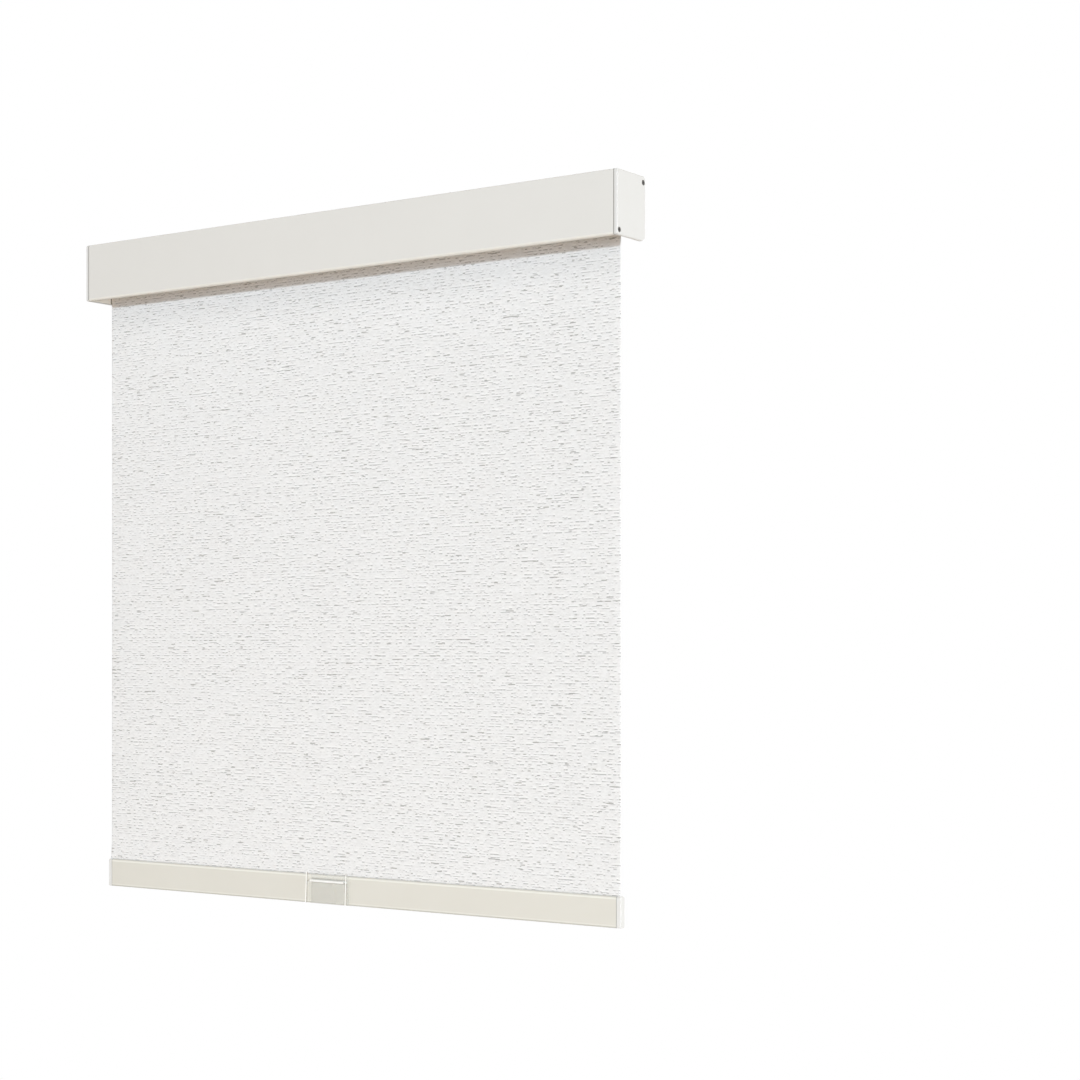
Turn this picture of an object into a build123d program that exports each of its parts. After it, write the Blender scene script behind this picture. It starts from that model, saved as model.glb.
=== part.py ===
from build123d import *
import os
from math import pi

# A cordless blackout roller shade in an L-shaped cassette, in millimetres.
# X runs to the right as seen from the room, Y towards the wall and Z up.
# The origin is the centre of the four wall screws, on the wall.

# Overall sizes
overall_width = 910.0
drop_length = 925.0
cassette_height = 80.0
cassette_depth = 64.0
screws_to_top = 24.0
lift_travel = 800.0

# Clearances that several pieces share
overrun = 2.0
slip_gap = 0.05
seat_gap = 0.1
running_gap = 0.3
same_place = 0.01

# Cassette extrusion
profile_wall = 1.6
front_lip_depth = 5.5
front_bottom_radius = 2.0
front_top_radius = 1.4
shoulder_width = 14.0
shoulder_overhang = 5.0
groove_height = 2.4

# End caps
cap_thickness = 5.5
cap_front_radius = 2.2
cap_rear_top_radius = 4.0
cap_rear_bottom_radius = 8.0
cap_edge_radius = 1.6
seam_width = 0.8
seam_depth = 0.9
rib_length = 6.0
rib_thickness = 1.5
rib_gap = 0.15
rib_port_gap = 1.0
rib_rear_share = 0.8

# End cap screws and the ports that they cut into
screw_radius = 1.5
screw_length = 15.4
screw_head_radius = 3.05
screw_head_height = 2.2
head_recess_radius = 3.4
head_recess_depth = 2.6
cross_length = 3.8
cross_width = 0.9
cross_depth = 1.3
port_wall = 1.35
port_slot = 1.2
port_web = 3.0
rear_screw_from_back = 5.0
rear_screw_from_top = 8.0
front_screw_from_front = 4.5
front_screw_from_bottom = 6.0

# Brackets
bracket_from_end = 105.0
bracket_sheet = 1.5
bracket_outer_edge = 10.0
bracket_inner_edge = 32.0
bracket_leg_height = 40.0
bracket_bend_radius = 1.2
mouth_gap = 0.5
tongue_reach = 5.0
fixing_hole_radius = 2.25
wall_hole_spacing = 20.0
ceiling_hole_spacing = 20.0
ceiling_holes_from_wall = 18.0

# Latch levers
latch_from_holes = 20.0
latch_below_port = 9.1
latch_thickness = 2.5
latch_half_width = 4.0
latch_disc_radius = 5.0
latch_tail_length = 15.0
finger_root = 5.8
nose_thickness = 1.9
nose_gap = 0.4
nose_rise = 2.4
rivet_radius = 2.0
rivet_head_radius = 3.5
rivet_head_height = 1.0

# Roller
roller_from_front = 28.0
roller_below_top = 40.0
tube_radius = 14.0
tube_wall = 1.0
key_width = 6.0
key_depth = 3.4
key_wall = 1.0
key_mouth = 1.6
fabric_thickness = 0.5
rest_roll_radius = 15.0
mean_roll_radius = 16.9

# Drive side of the roller, from the right-hand cap inwards
socket_plate = 24.0
socket_plate_depth = 2.5
socket_boss_radius = 10.0
socket_boss_height = 4.0
socket_square = 10.0
socket_corner_radius = 2.0
head_radius = 11.0
head_length = 11.2
journal_radius = 8.0
journal_length = 24.0
head_floor = 5.5
crown_length = 20.0
crown_flange = 1.5
axial_play = 0.5
spindle_radius = 3.0
spindle_tail = 5.0
damper_from_crown = 5.5
damper_cover_thickness = 3.0
damper_length = 31.5
damper_cavity_radius = 9.5
damper_end_wall = 3.0
damper_neck_radius = 6.0
damper_oil_gap = 0.4
damper_neck_reach = 2.5
anchor_from_damper = 6.0
anchor_length = 14.0
anchor_radius = 9.0
spring_length = 260.0
spring_turns = 24
spring_coil_radius = 7.0
spring_wire_radius = 0.7
carrier_length = 16.0
carrier_hub_radius = 5.8
carrier_hub_length = 14.0
carrier_to_stop = 8.0
stop_collar_radius = 8.5
stop_collar_length = 4.0
thread_radius = 6.0
thread_pitch = 1.5
nut_length = 6.5
nut_stop_gap = 0.5
nut_side_gap = 0.6
clip_radius = 5.2
clip_thickness = 0.8

# Idler side of the roller
plug_flange = 1.2
plug_from_cap = 1.3
plug_length = 34.0
pin_radius = 3.0
pin_length = 20.0
pin_reach = 3.7
pin_bore_depth = 31.0
idler_plate = 20.0
pin_spring_coil_radius = 2.2
pin_spring_wire_radius = 0.35
pin_spring_turns = 7

# Bottom rail
rail_overhang_left = 2.0
rail_overhang_right = 3.0
rail_height = 39.0
rail_depth = 9.0
rail_wall = 1.2
rail_top_radius = 2.5
rail_bottom_radius = 1.2
rail_mouth = 4.0
spline_chamber = 7.3
hem_radius = 2.7
hem_drop = 0.2
rail_cap_width = 6.5
rail_cap_radius = 1.2
rail_seam = 0.4
rail_plug_length = 12.0
weight_thickness = 3.0
weight_height = 16.0
weight_end_gap = 2.0

# Pull handle
handle_width = 71.0
handle_centre = -30.0
handle_plate = 2.0
handle_wall = 2.6
handle_rise = 3.3
handle_reach_top = 6.0
handle_reach_bottom = 8.0
ledge_below_rail_top = 7.0
ledge_thickness = 2.5
ledge_setback = 0.4
hook_nib = 1.0
hook_nib_length = 1.1
handle_edge_radius = 0.5

# Main places that follow from these sizes
cap_x = overall_width / 2 - cap_thickness
front_y = -cassette_depth
top_z = screws_to_top
bottom_z = top_z - cassette_height
floor_top_z = top_z - profile_wall - groove_height
floor_under_z = floor_top_z - profile_wall
roller_y = front_y + roller_from_front
roller_z = top_z - roller_below_top
flange_left = -cap_x + plug_from_cap
tube_left = flange_left + plug_flange
boss_x = cap_x - socket_boss_height
head_right = boss_x - running_gap
head_left = head_right - head_length
tube_right = head_left - axial_play - crown_flange
bore_radius = tube_radius - tube_wall
plug_radius = bore_radius - seat_gap
port_radius = screw_radius + slip_gap + port_wall
rear_port = (-rear_screw_from_back, top_z - rear_screw_from_top)
front_port = (front_y + front_screw_from_front, bottom_z + front_screw_from_bottom)
fabric_front_y = roller_y + rest_roll_radius + running_gap
fabric_mid_y = fabric_front_y + fabric_thickness / 2
rail_bottom_z = top_z - drop_length
rail_top_z = rail_bottom_z + rail_height
rail_left = tube_left - rail_overhang_left
rail_right = tube_right + rail_overhang_right
rail_front_y = fabric_mid_y - rail_depth / 2
rail_back_y = fabric_mid_y + rail_depth / 2


# Shapes that many pieces are made of
def block(x, y, z):
    """A box between two places on each axis."""
    size = Box(abs(x[1] - x[0]), abs(y[1] - y[0]), abs(z[1] - z[0]))
    return Pos((x[0] + x[1]) / 2, (y[0] + y[1]) / 2, (z[0] + z[1]) / 2) * size


def x_rod(radius, x, y=roller_y, z=roller_z):
    """A cylinder along X, on the roller's axis unless told otherwise."""
    return Pos((x[0] + x[1]) / 2, y, z) * Rot(0, 90, 0) * Cylinder(radius, abs(x[1] - x[0]))


def y_rod(radius, x, y, z):
    """A cylinder along Y."""
    return Pos(x, (y[0] + y[1]) / 2, z) * Rot(90, 0, 0) * Cylinder(radius, abs(y[1] - y[0]))


def z_rod(radius, x, y, z):
    """A cylinder along Z."""
    return Pos(x, y, (z[0] + z[1]) / 2) * Cylinder(radius, abs(z[1] - z[0]))


def x_edges(shape, places):
    """The edges along X that lie at one of the given (y, z) places."""
    found = []
    for edge in shape.edges().filter_by(Axis.X):
        centre = edge.center()
        for y, z in places:
            if abs(centre.Y - y) < same_place and abs(centre.Z - z) < same_place:
                found.append(edge)
    return found


def edges_in_plane(shape, axis, place):
    """The edges that lie whole in the plane across an axis at a place."""
    found = []
    for edge in shape.edges():
        box = edge.bounding_box()
        low = (box.min.X, box.min.Y, box.min.Z)[axis]
        high = (box.max.X, box.max.Y, box.max.Z)[axis]
        if abs(low - place) < same_place and abs(high - place) < same_place:
            found.append(edge)
    return found


def mirrored(shape):
    """The same shape on the other side of the middle."""
    return mirror(shape, about=Plane.YZ)


def keyway(x, gap):
    """The room that a plug inside the tube leaves for the tube's key."""
    half = key_width / 2 + gap
    low = roller_z + bore_radius - key_depth - gap
    return block(x, (roller_y - half, roller_y + half), (low, roller_z + tube_radius + overrun))


def tube_plug(radius, bore, x, gap=seat_gap):
    """A round plug for the tube, with a bore and a way for the tube's key."""
    wide = (x[0] - overrun, x[1] + overrun)
    return x_rod(radius, x) - x_rod(bore, wide) - keyway(wide, gap)


def collar(radius, bore, x):
    """A plain ring on the roller's axis."""
    return x_rod(radius, x) - x_rod(bore, (x[0] - overrun, x[1] + overrun))


def coil(coil_radius, wire_radius, turns, x):
    """A coil spring along the roller's axis, its wire just inside two places."""
    length = abs(x[1] - x[0]) - 2 * wire_radius
    path = Helix(length / turns, length, coil_radius)
    section = Plane(origin=path @ 0, z_dir=path % 0) * Circle(wire_radius)
    wire = sweep(section, path=path, is_frenet=True)
    return Pos(x[0] + wire_radius, roller_y, roller_z) * Rot(0, 90, 0) * wire


# Cassette extrusion
def make_cassette_profile():
    """Front wall, shoulder, sunk channel for the brackets and two screw ports."""
    x = (-cap_x, cap_x)
    lip_y = front_y + shoulder_width
    riser_y = lip_y - shoulder_overhang
    back_y = rear_port[0] + port_radius
    body = block(x, (front_y, front_y + profile_wall), (bottom_z, top_z))
    body += block(x, (front_y, front_y + front_lip_depth), (bottom_z, bottom_z + profile_wall))
    body += block(x, (front_y, lip_y), (top_z - profile_wall, top_z))
    body += block(x, (riser_y - profile_wall, riser_y), (floor_under_z, top_z))
    body += block(x, (riser_y - profile_wall, back_y), (floor_under_z, floor_top_z))
    bottom_corner = x_edges(body, [(front_y, bottom_z)])
    body = fillet(bottom_corner, front_bottom_radius)
    top_corner = x_edges(body, [(front_y, top_z)])
    body = fillet(top_corner, front_top_radius)
    rear_web = (rear_port[0] - port_web / 2, rear_port[0] + port_web / 2)
    body += block(x, rear_web, (rear_port[1], floor_top_z))
    front_web = (front_port[1] - port_web / 2, front_port[1] + port_web / 2)
    body += block(x, (front_y + profile_wall / 2, front_port[0]), front_web)
    wide = (x[0] - overrun, x[1] + overrun)
    for y, z in (rear_port, front_port):
        body += x_rod(port_radius, x, y, z)
        body -= x_rod(screw_radius + slip_gap, wide, y, z)
        slot_y = (y, y + port_radius + overrun)
        body -= block(wide, slot_y, (z - port_slot / 2, z + port_slot / 2))
    return body


# End caps
def cap_outline(x, inset):
    """A length of the right-hand cap's outer shape, drawn in by an inset all round."""
    y = (front_y + inset, -inset)
    z = (bottom_z + inset, top_z - inset)
    body = block(x, y, z)
    body = fillet(x_edges(body, [(y[0], z[0]), (y[0], z[1])]), cap_front_radius - inset)
    body = fillet(x_edges(body, [(y[1], z[1])]), cap_rear_top_radius - inset)
    return fillet(x_edges(body, [(y[1], z[0])]), cap_rear_bottom_radius - inset)


def make_end_cap():
    """The right-hand cap without its seat for the roller, with a shadow seam to the profile."""
    seam_x = cap_x + seam_width
    outer_x = cap_x + cap_thickness
    body = cap_outline((seam_x, outer_x), 0)
    body = fillet(edges_in_plane(body, 0, outer_x), cap_edge_radius)
    body += cap_outline((cap_x, seam_x), seam_depth)
    rib_x = (cap_x - rib_length, cap_x)
    rib_y = front_y + profile_wall + rib_gap
    rib_z = floor_under_z - rib_gap
    rib_low_z = front_port[1] + port_radius + rib_port_gap
    body += block(rib_x, (rib_y, rib_y + rib_thickness), (rib_low_z, rib_z))
    rear_y = rib_y + rib_rear_share * (rear_port[0] - port_radius - rib_y)
    body += block(rib_x, (rib_y, rear_y), (rib_z - rib_thickness, rib_z))
    for y, z in (rear_port, front_port):
        through = (cap_x - overrun, outer_x + overrun)
        body -= x_rod(screw_radius + seat_gap, through, y, z)
        body -= x_rod(head_recess_radius, (outer_x - head_recess_depth, outer_x + overrun), y, z)
    return body


def seat_plate(width, gap, depth):
    """The square plate of a roller seat, or with a gap the pocket for it."""
    half = width / 2 + gap
    plate = block(
        (cap_x, cap_x + depth),
        (roller_y - half, roller_y + half),
        (roller_z - half, roller_z + half),
    )
    corners = [
        (roller_y - half, roller_z - half),
        (roller_y - half, roller_z + half),
        (roller_y + half, roller_z - half),
        (roller_y + half, roller_z + half),
    ]
    return fillet(x_edges(plate, corners), socket_corner_radius)


def make_end_cap_right():
    """The right-hand cap, with a pocket for the drive socket."""
    return make_end_cap() - seat_plate(socket_plate, seat_gap, socket_plate_depth)


def make_end_cap_left():
    """The left-hand cap, with a pocket for the idler socket and room for the pin's tip."""
    tip_x = (cap_x, cap_x + pin_reach + running_gap)
    body = make_end_cap() - seat_plate(idler_plate, seat_gap, socket_plate_depth)
    return mirrored(body - x_rod(pin_radius + running_gap, tip_x))


def make_end_cap_screws():
    """The two screws of the right-hand cap, with cross recesses."""
    floor_x = cap_x + cap_thickness - head_recess_depth
    head_x = floor_x + screw_head_height
    screws = []
    for y, z in (rear_port, front_port):
        screw = x_rod(screw_head_radius, (floor_x, head_x), y, z)
        screw += x_rod(screw_radius, (floor_x - screw_length, floor_x), y, z)
        slot_x = (head_x - cross_depth, head_x + overrun)
        long_half = cross_length / 2
        short_half = cross_width / 2
        screw -= block(slot_x, (y - long_half, y + long_half), (z - short_half, z + short_half))
        screw -= block(slot_x, (y - short_half, y + short_half), (z - long_half, z + long_half))
        screws.append(screw)
    return screws


# Brackets and their latches
bracket_x = cap_x + cap_thickness - bracket_from_end
latch_x = bracket_x - latch_from_holes
latch_z = rear_port[1] - port_radius - latch_below_port
latch_y = (-bracket_sheet - running_gap - latch_thickness, -bracket_sheet - running_gap)


def make_bracket_plate():
    """The right-hand steel bracket: top plate, tongue under the shoulder and wall leg."""
    x = (bracket_x - bracket_inner_edge, bracket_x + bracket_outer_edge)
    plate_y = front_y + shoulder_width + mouth_gap
    tongue_z = top_z - profile_wall
    body = block(x, (plate_y, 0), (top_z - bracket_sheet, top_z))
    body += block(x, (-bracket_sheet, 0), (top_z - bracket_leg_height, top_z))
    body = fillet(x_edges(body, [(0, top_z)]), bracket_bend_radius)
    step_y = (plate_y, plate_y + bracket_sheet)
    body += block(x, step_y, (tongue_z - bracket_sheet, top_z))
    tongue_y = (plate_y - tongue_reach, plate_y + bracket_sheet)
    body += block(x, tongue_y, (tongue_z - bracket_sheet, tongue_z))
    for side in (-1, 1):
        wall_z = side * wall_hole_spacing / 2
        wall_y = (-bracket_sheet - overrun, overrun)
        body -= y_rod(fixing_hole_radius, bracket_x, wall_y, wall_z)
        ceiling_y = -ceiling_holes_from_wall - ceiling_hole_spacing * (1 - side) / 2
        ceiling_z = (top_z - bracket_sheet - overrun, top_z + overrun)
        body -= z_rod(fixing_hole_radius, bracket_x, ceiling_y, ceiling_z)
    rivet_y = (-bracket_sheet - overrun, overrun)
    body -= y_rod(rivet_radius + slip_gap, latch_x, rivet_y, latch_z)
    return body


def make_latch_lever():
    """The right-hand lever: a finger under the rear port and a nose in front of it."""
    finger_radius = latch_below_port - running_gap
    nose_radius = finger_radius + nose_rise
    port_front_y = rear_port[0] - port_radius
    nose_y = (port_front_y - nose_gap - nose_thickness, port_front_y - nose_gap)
    x = (latch_x - latch_half_width, latch_x + latch_half_width)
    body = y_rod(latch_disc_radius, latch_x, latch_y, latch_z)
    body += block(x, latch_y, (latch_z - latch_tail_length, latch_z))
    arm = block(x, (nose_y[0], latch_y[1]), (latch_z + finger_root, latch_z + nose_radius))
    arm += block(x, latch_y, (latch_z, latch_z + finger_root))
    arm = arm & y_rod(nose_radius, latch_x, (nose_y[0], latch_y[1]), latch_z)
    bead_y = (nose_y[1], latch_y[1] + overrun)
    bead = y_rod(nose_radius + overrun, latch_x, bead_y, latch_z)
    bead -= y_rod(finger_radius, latch_x, bead_y, latch_z)
    body += arm - bead
    bore_y = (latch_y[0] - overrun, latch_y[1] + overrun)
    return body - y_rod(rivet_radius + slip_gap, latch_x, bore_y, latch_z)


def make_latch_rivets():
    """The two rivets that the levers turn on."""
    head_y = latch_y[0] - seat_gap
    rivet = y_rod(rivet_radius, latch_x, (head_y, 0), latch_z)
    rivet += y_rod(rivet_head_radius, latch_x, (head_y - rivet_head_height, head_y), latch_z)
    return [mirrored(rivet), rivet]


# Roller
def make_roller_tube():
    """The tube, with a key inside that is also the groove for the fabric's end."""
    x = (tube_left, tube_right)
    wide = (tube_left - overrun, tube_right + overrun)
    key_low = roller_z + bore_radius - key_depth
    key_half = key_width / 2
    inner_half = key_half - key_wall
    mouth_half = key_mouth / 2
    body = collar(tube_radius, bore_radius, x)
    key = block(x, (roller_y - key_half, roller_y + key_half), (key_low, roller_z + bore_radius))
    key = key & x_rod(bore_radius + tube_wall / 2, x)
    body += key
    groove_z = (key_low + key_wall, roller_z + bore_radius)
    body -= block(wide, (roller_y - inner_half, roller_y + inner_half), groove_z)
    mouth_z = (key_low + key_wall, roller_z + tube_radius + overrun)
    body -= block(wide, (roller_y - mouth_half, roller_y + mouth_half), mouth_z)
    return body


def make_fabric_top_strip():
    """The strip that holds the fabric's end in the tube's groove."""
    half = key_width / 2 - key_wall - seat_gap
    low = roller_z + bore_radius - key_depth + key_wall + seat_gap
    high = roller_z + bore_radius - key_wall / 2
    return block((tube_left, tube_right), (roller_y - half, roller_y + half), (low, high))


def make_fabric_roll():
    """The turns of fabric that stay on the tube when the shade is down."""
    return collar(rest_roll_radius, tube_radius + slip_gap, (tube_left, tube_right))


def make_fabric_panel():
    """The hanging fabric, from behind the roll to the top of the rail."""
    y = (fabric_front_y, fabric_front_y + fabric_thickness)
    return block((tube_left, tube_right), y, (rail_top_z, roller_z))


# Drive side, with the places of its pieces from right to left
journal_left = head_left - journal_length
spigot_right = cap_x + socket_plate_depth - seat_gap
spindle_right = head_right - head_floor
crown_left = tube_right - crown_length
cover_right = crown_left - damper_from_crown
housing_right = cover_right - damper_cover_thickness
housing_left = housing_right - damper_length
anchor_right = housing_left - anchor_from_damper
anchor_left = anchor_right - anchor_length
spring_right = anchor_left - running_gap
spring_left = spring_right - spring_length
carrier_right = spring_left - slip_gap
carrier_left = carrier_right - carrier_length
nut_travel = lift_travel / (2 * pi * mean_roll_radius) * thread_pitch
stop_right = carrier_left - carrier_to_stop
thread_right = stop_right - stop_collar_length
thread_left = thread_right - nut_length - nut_travel - 2 * nut_stop_gap
stop_left = thread_left - stop_collar_length
clip_right = stop_left - seat_gap
spindle_left = clip_right - clip_thickness - spindle_tail
spindle_bore = spindle_radius + slip_gap


def make_drive_socket():
    """The seat in the right-hand cap, with a square hole that keeps the spindle still."""
    half = socket_square / 2
    body = seat_plate(socket_plate, 0, socket_plate_depth)
    body += x_rod(socket_boss_radius, (boss_x, cap_x))
    hole_x = (boss_x - overrun, cap_x + socket_plate_depth + overrun)
    return body - block(hole_x, (roller_y - half, roller_y + half), (roller_z - half, roller_z + half))


def make_drive_head():
    """The fixed head of the spring unit: square spigot, shoulder and journal."""
    half = socket_square / 2 - seat_gap
    square = (roller_y - half, roller_y + half), (roller_z - half, roller_z + half)
    body = block((head_right, spigot_right), *square)
    body += x_rod(head_radius, (head_left, head_right))
    body += x_rod(journal_radius, (journal_left, head_left))
    return body - x_rod(spindle_bore, (journal_left - overrun, spindle_right + seat_gap))


def make_drive_crown():
    """The bearing sleeve that turns on the journal and drives the tube."""
    body = tube_plug(plug_radius, journal_radius + slip_gap, (crown_left, tube_right))
    flange_x = (tube_right, tube_right + crown_flange)
    return body + collar(tube_radius, journal_radius + slip_gap, flange_x)


def make_spring_spindle():
    """The steel rod that every fixed piece of the spring unit sits on."""
    return x_rod(spindle_radius, (spindle_left, spindle_right))


def make_damper_cover():
    """The lid of the rotary damper."""
    return tube_plug(plug_radius, damper_neck_radius + running_gap, (housing_right, cover_right))


def make_damper_housing():
    """The cup of the rotary damper, which turns with the tube."""
    neck = damper_neck_radius + running_gap
    body = tube_plug(plug_radius, neck, (housing_left, housing_right))
    cavity_x = (housing_left + damper_end_wall, housing_right + overrun)
    return body - x_rod(damper_cavity_radius, cavity_x)


def make_damper_core():
    """The fixed rotor that the damper's grease drags on."""
    neck_x = (housing_left - damper_neck_reach, cover_right + damper_neck_reach)
    rotor_left = housing_left + damper_end_wall + damper_oil_gap
    rotor_right = housing_right - damper_oil_gap
    body = x_rod(damper_neck_radius, neck_x)
    body += x_rod(damper_cavity_radius - damper_oil_gap, (rotor_left, rotor_right))
    return body - x_rod(spindle_bore, (neck_x[0] - overrun, neck_x[1] + overrun))


def make_spring_anchor():
    """The fixed collar that holds the still end of the spring."""
    return collar(anchor_radius, spindle_bore, (anchor_left, anchor_right))


def make_torsion_spring():
    """The long spring that balances the weight of fabric and rail."""
    return coil(spring_coil_radius, spring_wire_radius, spring_turns, (spring_left, spring_right))


def make_drive_carrier():
    """The plug that carries the turning end of the spring and runs on the spindle."""
    body = tube_plug(plug_radius, spindle_bore, (carrier_left, carrier_right))
    hub_x = (carrier_right, carrier_right + carrier_hub_length)
    return body + collar(carrier_hub_radius, spindle_bore, hub_x)


def make_limit_screw():
    """The fixed screw of the end stop, between two collars."""
    body = x_rod(thread_radius, (stop_left, stop_right))
    body += x_rod(stop_collar_radius, (stop_left, thread_left))
    body += x_rod(stop_collar_radius, (thread_right, stop_right))
    return body - x_rod(spindle_bore, (stop_left - overrun, stop_right + overrun))


def make_limit_nut():
    """The nut that turns with the tube and travels along the limit screw."""
    left = thread_left + nut_stop_gap
    radius = bore_radius - nut_side_gap
    return tube_plug(radius, thread_radius + running_gap, (left, left + nut_length), nut_side_gap)


def make_spindle_clip():
    """The spring washer on the end of the spindle."""
    return collar(clip_radius, spindle_bore, (clip_right - clip_thickness, clip_right))


# Idler side
pin_left = -cap_x - pin_reach
pin_right = pin_left + pin_length
bore_right = flange_left + pin_bore_depth


def make_idler_plug():
    """The plug in the tube's left end, with a blind bore for the sprung pin."""
    body = x_rod(plug_radius, (tube_left, tube_left + plug_length))
    body -= keyway((tube_left - overrun, tube_left + plug_length + overrun), seat_gap)
    body += x_rod(tube_radius, (flange_left, tube_left))
    return body - x_rod(pin_radius + slip_gap, (flange_left - overrun, bore_right))


def make_idler_pin():
    """The pin that stands in the left-hand cap and is pushed in to free the roller."""
    return x_rod(pin_radius, (pin_left, pin_right))


def make_idler_pin_spring():
    """The small spring behind the pin."""
    x = (pin_right + slip_gap, bore_right - slip_gap)
    return coil(pin_spring_coil_radius, pin_spring_wire_radius, pin_spring_turns, x)


def make_idler_socket():
    """The hard seat in the left-hand cap that the pin turns in."""
    bore_x = (cap_x - overrun, cap_x + socket_plate_depth + overrun)
    plate = seat_plate(idler_plate, 0, socket_plate_depth)
    return mirrored(plate - x_rod(pin_radius + slip_gap, bore_x))


# Bottom rail
profile_left = rail_left + rail_cap_width
profile_right = rail_right - rail_cap_width
chamber_top_z = rail_top_z - rail_wall
web_top_z = chamber_top_z - spline_chamber
lower_z = (rail_bottom_z + rail_wall, web_top_z - rail_wall)
chamber_y = (rail_front_y + rail_wall, rail_back_y - rail_wall)
hem_z = chamber_top_z - hem_drop - hem_radius


def rail_outline(x, inset=0):
    """A length of the rail's outer shape, drawn in by an inset all round."""
    y = (rail_front_y + inset, rail_back_y - inset)
    z = (rail_bottom_z + inset, rail_top_z - inset)
    body = block(x, y, z)
    body = fillet(x_edges(body, [(y[0], z[1]), (y[1], z[1])]), rail_top_radius - inset)
    return fillet(x_edges(body, [(y[0], z[0]), (y[1], z[0])]), rail_bottom_radius - inset)


def make_rail_profile():
    """The hollow rail, with a slotted chamber for the fabric and one for the weight."""
    wide = (profile_left - overrun, profile_right + overrun)
    upper = block(wide, chamber_y, (web_top_z, chamber_top_z))
    corners = [(chamber_y[0], chamber_top_z), (chamber_y[1], chamber_top_z)]
    upper = fillet(x_edges(upper, corners), rail_top_radius - rail_wall)
    body = rail_outline((profile_left, profile_right)) - upper
    body -= block(wide, chamber_y, lower_z)
    mouth_y = (fabric_mid_y - rail_mouth / 2, fabric_mid_y + rail_mouth / 2)
    return body - block(wide, mouth_y, (chamber_top_z - rail_wall, rail_top_z + overrun))


def make_rail_end_cap():
    """The right-hand cap of the rail, with its seam and its plug in the lower chamber."""
    seam_x = profile_right + rail_seam
    body = rail_outline((seam_x, rail_right))
    body = fillet(edges_in_plane(body, 0, rail_right), rail_cap_radius)
    body += rail_outline((profile_right, seam_x), rail_seam)
    plug_y = (chamber_y[0] + seat_gap, chamber_y[1] - seat_gap)
    plug_z = (lower_z[0] + seat_gap, lower_z[1] - seat_gap)
    return body + block((profile_right - rail_plug_length, profile_right), plug_y, plug_z)


def make_rail_end_cap_left():
    """The left-hand cap of the rail."""
    return Pos(rail_left + rail_right, 0, 0) * mirrored(make_rail_end_cap())


def make_fabric_hem():
    """The end of the fabric, looped round the spline inside the rail."""
    x = (tube_left + rail_cap_width, tube_right - rail_cap_width)
    wide = (x[0] - overrun, x[1] + overrun)
    body = x_rod(hem_radius, x, fabric_mid_y, hem_z)
    y = (fabric_front_y, fabric_front_y + fabric_thickness)
    body += block(x, y, (hem_z, rail_top_z))
    return body - x_rod(hem_radius - fabric_thickness, wide, fabric_mid_y, hem_z)


def make_rail_spline():
    """The round rod that the fabric is looped over."""
    x = (tube_left + rail_cap_width, tube_right - rail_cap_width)
    return x_rod(hem_radius - fabric_thickness - seat_gap, x, fabric_mid_y, hem_z)


def make_rail_weight_bar():
    """The steel strip that keeps the fabric straight."""
    end_gap = rail_plug_length + weight_end_gap
    x = (profile_left + end_gap, profile_right - end_gap)
    y = (fabric_mid_y - weight_thickness / 2, fabric_mid_y + weight_thickness / 2)
    return block(x, y, (lower_z[0], lower_z[0] + weight_height))


# Pull handle
def make_pull_handle():
    """One clear moulding: back plate, two side walls, a ledge and a hook."""
    left = handle_centre - handle_width / 2
    right = handle_centre + handle_width / 2
    back_y = rail_front_y - running_gap
    plate_y = back_y - handle_plate
    handle_top_z = rail_top_z + handle_rise
    body = block((left, right), (plate_y, back_y), (rail_bottom_z, handle_top_z))
    side = Polyline(
        (back_y, rail_bottom_z),
        (plate_y - handle_reach_bottom, rail_bottom_z),
        (plate_y - handle_reach_top, handle_top_z),
        (back_y, handle_top_z),
        close=True,
    )
    wall = extrude(Plane.YZ * make_face(side), handle_wall)
    wall = fillet(wall.faces().sort_by(Axis.Y)[0].edges(), handle_edge_radius)
    for x in (left, right - handle_wall):
        body += Pos(x, 0, 0) * wall
    ledge_top_z = rail_top_z - ledge_below_rail_top
    ledge_y = (plate_y - handle_reach_top + ledge_setback, plate_y)
    ledge = block((left, right), ledge_y, (ledge_top_z - ledge_thickness, ledge_top_z))
    ledge_front = x_edges(ledge, [(ledge_y[0], ledge_top_z), (ledge_y[0], ledge_top_z - ledge_thickness)])
    body += fillet(ledge_front, handle_edge_radius)
    mouth_front_y = fabric_mid_y - rail_mouth / 2
    nib_y = (mouth_front_y + running_gap, mouth_front_y + running_gap + hook_nib)
    hook_low_z = rail_top_z + running_gap
    body += block((left, right), (plate_y, nib_y[1]), (hook_low_z, handle_top_z))
    return body + block((left, right), nib_y, (rail_top_z - hook_nib_length, handle_top_z))


# Writing each piece to its own file
def solids_of(made):
    """The solids of a piece, as one compound when there are several."""
    if isinstance(made, list):
        return Compound(children=made)
    return made


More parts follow.
